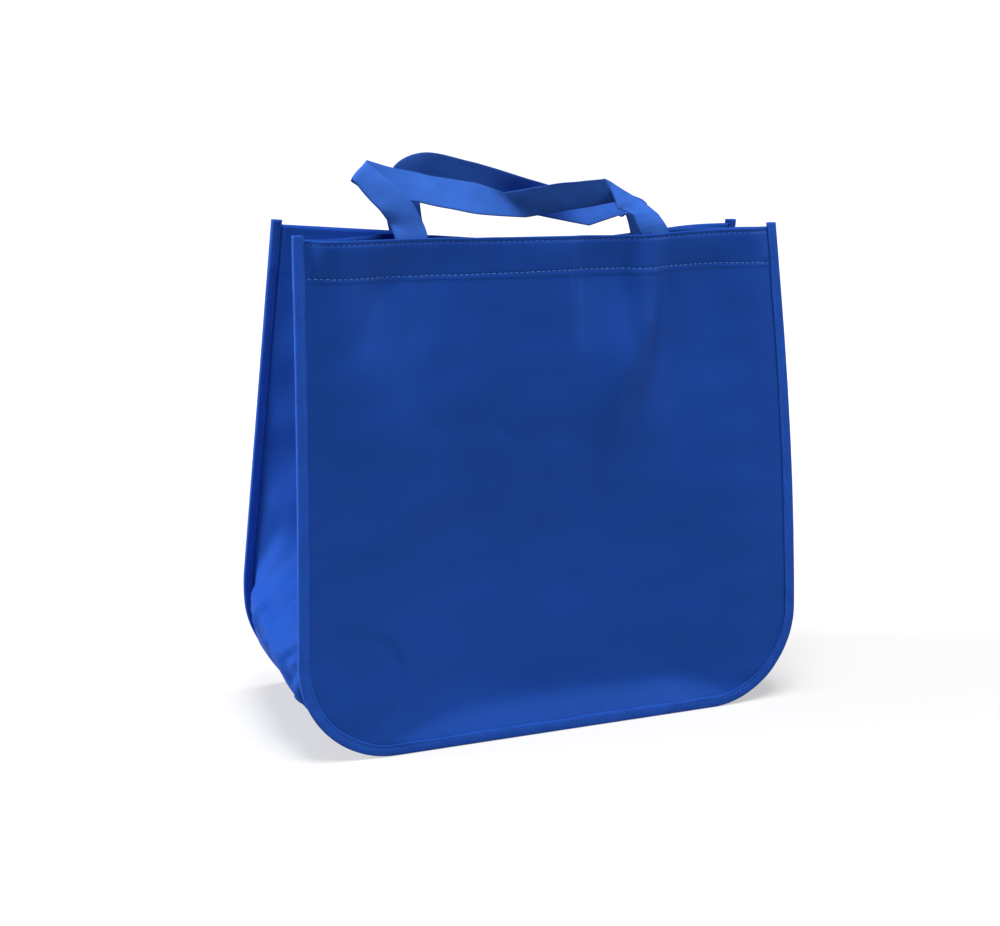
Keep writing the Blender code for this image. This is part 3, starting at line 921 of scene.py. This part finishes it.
def laminate(name, colour, roughness, index):
    """Fine nonwoven fabric under a thin satin film."""
    look = Look(name)
    vector, across, along = look.flat()
    cloud = look.noise(vector, 9.0, 3.0, 0.55)
    look.set(Base_Color=look.ramp(cloud, ((0.30, shade(colour, 0.93)), (0.70, shade(colour, 1.07)))))
    wear = look.noise(vector, 60.0, 4.0, 0.6)
    limits = {"Value": wear, "To Min": roughness - 0.05, "To Max": roughness + 0.07}
    gloss = look.add("ShaderNodeMapRange", limits)
    look.set(Roughness=gloss.outputs["Result"])
    wave_a = look.maths("SINE", look.maths("MULTIPLY", look.maths("ADD", across, along), WOVEN_DOTS))
    wave_b = look.maths("SINE", look.maths("MULTIPLY", look.maths("SUBTRACT", across, along), WOVEN_DOTS))
    dots = look.maths("MULTIPLY", wave_a, wave_b)
    fine = look.bump(dots, 0.10, 0.0002)
    fibres = look.noise(vector, 1400.0, 3.0, 0.6)
    fine = look.bump(fibres, 0.12, 0.0002, fine)
    waves = look.noise(vector, 45.0, 2.0, 0.5)
    look.set(Normal=look.bump(waves, 0.16, 0.0012, fine))
    look.set(IOR=index, Specular_Tint=FILM_TINT)
    return look.made


def tape_cloth(name, colour):
    """A thin woven tape with fine slanted ribs."""
    look = Look(name)
    vector, across, along = look.flat()
    cloud = look.noise(vector, 40.0, 3.0, 0.6)
    specks = look.noise(vector, 1100.0, 2.0, 0.6)
    cloud = look.maths("ADD", look.maths("MULTIPLY", cloud, 0.45), look.maths("MULTIPLY", specks, 0.55))
    look.set(Base_Color=look.ramp(cloud, ((0.34, shade(colour, 0.80)), (0.66, shade(colour, 1.24)))))
    slant = look.maths("ADD", across, look.maths("MULTIPLY", along, 1.3))
    ribs = look.maths("SINE", look.maths("MULTIPLY", slant, TAPE_RIBS))
    counter = look.maths("SINE", look.maths("MULTIPLY", look.maths("SUBTRACT", across, along), TAPE_RIBS))
    weave = look.maths("ADD", ribs, look.maths("MULTIPLY", counter, 0.6))
    normal = look.bump(weave, 0.6, 0.00028)
    fibres = look.noise(vector, 900.0, 3.0, 0.6)
    look.set(Normal=look.bump(fibres, 0.30, 0.0003, normal))
    rough = look.add("ShaderNodeMapRange", {"Value": fibres, "To Min": 0.52, "To Max": 0.72})
    look.set(Roughness=rough.outputs["Result"])
    look.set(IOR=1.40, Specular_Tint=FILM_TINT)
    look.set(Sheen_Weight=0.08, Sheen_Roughness=0.5, Sheen_Tint=FILM_TINT)
    return look.made


def strap_cloth(name, colour):
    """Heat-bonded nonwoven fabric: rows of small pressed dots in matted fibres, with painted shade darkening
    both edges.
    """
    look = Look(name)
    vector, across, along = look.flat()
    cloud = look.noise(vector, 55.0, 4.0, 0.62)
    row = look.maths("SINE", look.maths("MULTIPLY", look.maths("ADD", across, along), PRESSED_DOTS))
    column = look.maths("SINE", look.maths("MULTIPLY", look.maths("SUBTRACT", across, along), PRESSED_DOTS))
    dots = look.maths("POWER", look.maths("ABSOLUTE", look.maths("MULTIPLY", row, column)), 2.0)
    # Painted shade: the colour is darkened in a 0.8 mm band along both edges of the strap, standing in for
    # the shade at its edges.
    off = look.maths("ABSOLUTE", look.maths("SUBTRACT", across, STRAP_WIDTH / 2.0))
    edge = look.maths("MULTIPLY", look.maths("GREATER_THAN", off, STRAP_WIDTH / 2.0 - 0.0008), 0.35)
    tone = look.maths("ADD", look.maths("MULTIPLY", cloud, 0.65), look.maths("MULTIPLY", dots, 0.35))
    tone = look.maths("SUBTRACT", tone, edge)
    tones = ((0.10, shade(colour, 0.62)), (0.30, shade(colour, 0.84)), (0.70, shade(colour, 1.16)))
    look.set(Base_Color=look.ramp(tone, tones))
    normal = look.bump(dots, 0.65, 0.0004)
    fibres = look.noise(vector, 700.0, 4.0, 0.65)
    normal = look.bump(fibres, 0.25, 0.0004, normal)
    look.set(Normal=normal)
    rough = look.add("ShaderNodeMapRange", {"Value": fibres, "To Min": 0.58, "To Max": 0.78})
    look.set(Roughness=rough.outputs["Result"])
    look.set(IOR=1.40, Specular_Tint=FILM_TINT)
    look.set(Sheen_Weight=0.05, Sheen_Roughness=0.5, Sheen_Tint=FILM_TINT)
    return look.made


def thread(name, colour):
    look = Look(name)
    vector, across, along = look.flat()
    slant = look.maths("ADD", along, look.maths("MULTIPLY", across, 0.8))
    twist = look.maths("SINE", look.maths("MULTIPLY", slant, THREAD_TWIST))
    look.set(Normal=look.bump(twist, 0.5, 0.0001))
    cloud = look.noise(vector, 200.0, 2.0, 0.5)
    look.set(Base_Color=look.ramp(cloud, ((0.30, shade(colour, 0.85)), (0.70, shade(colour, 1.15)))))
    look.set(Roughness=0.5)
    look.set(Sheen_Weight=0.1)
    return look.made


def add_camera():
    data = bpy.data.cameras.new("camera")
    data.sensor_width = 36.0
    data.lens = 62.614
    data.shift_x = 0.001285
    data.shift_y = -0.00105
    data.clip_start = 0.05
    data.clip_end = 60.0
    yaw, pitch, roll = 0.4135, 0.2404, 0.0198
    ahead = Vector((math.sin(yaw) * math.cos(pitch), math.cos(yaw) * math.cos(pitch), -math.sin(pitch)))
    level = Vector((math.cos(yaw), -math.sin(yaw), 0.0))
    rise = level.cross(ahead)
    right = level * math.cos(roll) + rise * math.sin(roll)
    up = rise * math.cos(roll) - level * math.sin(roll)
    place = Vector((-0.5258, -1.1577, 0.4952)) + Vector(SHIFT)
    camera = bpy.data.objects.new("camera", data)
    camera.matrix_world = Matrix.Translation(place) @ Matrix((right, up, -ahead)).transposed().to_4x4()
    bpy.context.scene.collection.objects.link(camera)
    bpy.context.scene.camera = camera


def add_light(name, place, target, size, power):
    data = bpy.data.lights.new(name, "AREA")
    data.shape = "RECTANGLE"
    data.size, data.size_y = size
    data.energy = power
    made = bpy.data.objects.new(name, data)
    made.location = place
    made.rotation_mode = "QUATERNION"
    made.rotation_quaternion = (Vector(target) - Vector(place)).to_track_quat("-Z", "Y")
    bpy.context.scene.collection.objects.link(made)


def add_world():
    world = bpy.data.worlds.new("studio")
    bpy.context.scene.world = world
    world.use_nodes = True
    tree = world.node_tree
    plain = tree.nodes["Background"]
    plain.inputs["Color"].default_value = (1.0, 1.0, 1.0, 1.0)
    plain.inputs["Strength"].default_value = WORLD_LIGHT
    seen = tree.nodes.new("ShaderNodeBackground")
    seen.inputs["Color"].default_value = (1.0, 1.0, 1.0, 1.0)
    seen.inputs["Strength"].default_value = 1.0
    mix = tree.nodes.new("ShaderNodeMixShader")
    path = tree.nodes.new("ShaderNodeLightPath")
    tree.links.new(path.outputs["Is Camera Ray"], mix.inputs[0])
    tree.links.new(plain.outputs[0], mix.inputs[1])
    tree.links.new(seen.outputs[0], mix.inputs[2])
    tree.links.new(mix.outputs[0], tree.nodes["World Output"].inputs[0])



def add_floor():
    """A pale floor that reads as white to the camera and still takes the bag's shadow."""
    size = 14.0
    corners = [(-size, -size, 0.0), (size, -size, 0.0), (size, size, 0.0), (-size, size, 0.0)]
    mesh = bpy.data.meshes.new("floor")
    mesh.from_pydata(corners, [], [(0, 1, 2, 3)])
    made = bpy.data.objects.new("floor", mesh)
    bpy.context.scene.collection.objects.link(made)
    look = Look("floor")
    look.set(Base_Color=(FLOOR_GREY, FLOOR_GREY, FLOOR_GREY, 1.0), Roughness=0.9)
    look.set(Specular_IOR_Level=0.0)
    place = look.add("ShaderNodeTexCoord").outputs["Object"]
    away = look.add("ShaderNodeVectorMath", {0: place}, operation="LENGTH").outputs["Value"]
    lift = look.add(
        "ShaderNodeMapRange",
        {"Value": away, "From Min": 0.45, "From Max": 1.3, "To Min": FLOOR_LIFT, "To Max": 1.0},
        interpolation_type="SMOOTHSTEP",
    )
    seen = look.add("ShaderNodeLightPath").outputs["Is Camera Ray"]
    glow = look.add("ShaderNodeEmission", {"Strength": look.maths("MULTIPLY", lift.outputs["Result"], seen)})
    both = look.add("ShaderNodeAddShader", {0: look.shader.outputs[0], 1: glow.outputs[0]})
    look.tree.links.new(both.outputs[0], look.tree.nodes["Material Output"].inputs[0])
    mesh.materials.append(look.made)



def build():
    panel = laminate("laminate_panel", PANEL_BLUE, 0.38, 1.30)
    side = laminate("laminate_gusset", GUSSET_BLUE, 0.50, 1.09)
    tape = tape_cloth("binding_tape", TAPE_BLUE)
    strap = strap_cloth("strap_fabric", STRAP_BLUE)
    sewing = thread("sewing_thread", THREAD_BLUE)
    edging = thread("edging_thread", EDGING_BLUE)
    front = build_panel("front_panel_sheet", -1, panel, 110, 110, 26)
    back = build_panel("back_panel_sheet", 1, panel, 100, 90, 24)
    gusset = build_gusset(side)
    front_tape = build_binding("front_binding_tape", -1, tape)
    back_tape = build_binding("back_binding_tape", 1, tape)
    folds = {6, 7, 8, 10, 12, 14, 15, 17}
    front_strap = build_strap("front_strap_ribbon", -1, FRONT_STRAP, -1, -1, folds, strap, 61)
    back_strap = build_strap("back_strap_ribbon", 1, BACK_STRAP, 1, -1, {10, 11}, strap, 71)
    front_thread = panel_stitches("front_panel_stitches", -1, sewing)
    back_thread = panel_stitches("back_panel_stitches", 1, sewing)
    front_sewn = tape_stitches("front_binding_stitches", -1, edging)
    back_sewn = tape_stitches("back_binding_stitches", 1, edging)
    for made, node in (
        (front, "front_panel"),
        (back, "back_panel"),
        (gusset, "gusset"),
        (front_tape, "front_binding"),
        (back_tape, "back_binding"),
        (front_strap, "front_strap"),
        (back_strap, "back_strap"),
    ):
        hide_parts(node)
    return {
        "panels": ((front, front_thread), (back, back_thread)),
        "gusset": gusset,
        "tapes": ((front_tape, front_sewn), (back_tape, back_sewn)),
        "straps": (front_strap, back_strap),
    }


add_camera()
add_floor()
add_world()
add_light("key", (1.3, -0.9, 1.0), (0.1, 0.0, 0.2), (0.8, 0.8), 8.0)
add_light("top", (-0.1, -0.50, 3.2), (0.0, 0.0, 0.2), (1.6, 1.6), 128.0)
add_light("left", (-1.8, 0.60, 0.75), (0.0, 0.0, 0.2), (0.9, 0.9), 48.0)
bpy.context.scene.view_settings.view_transform = "Standard"

build()
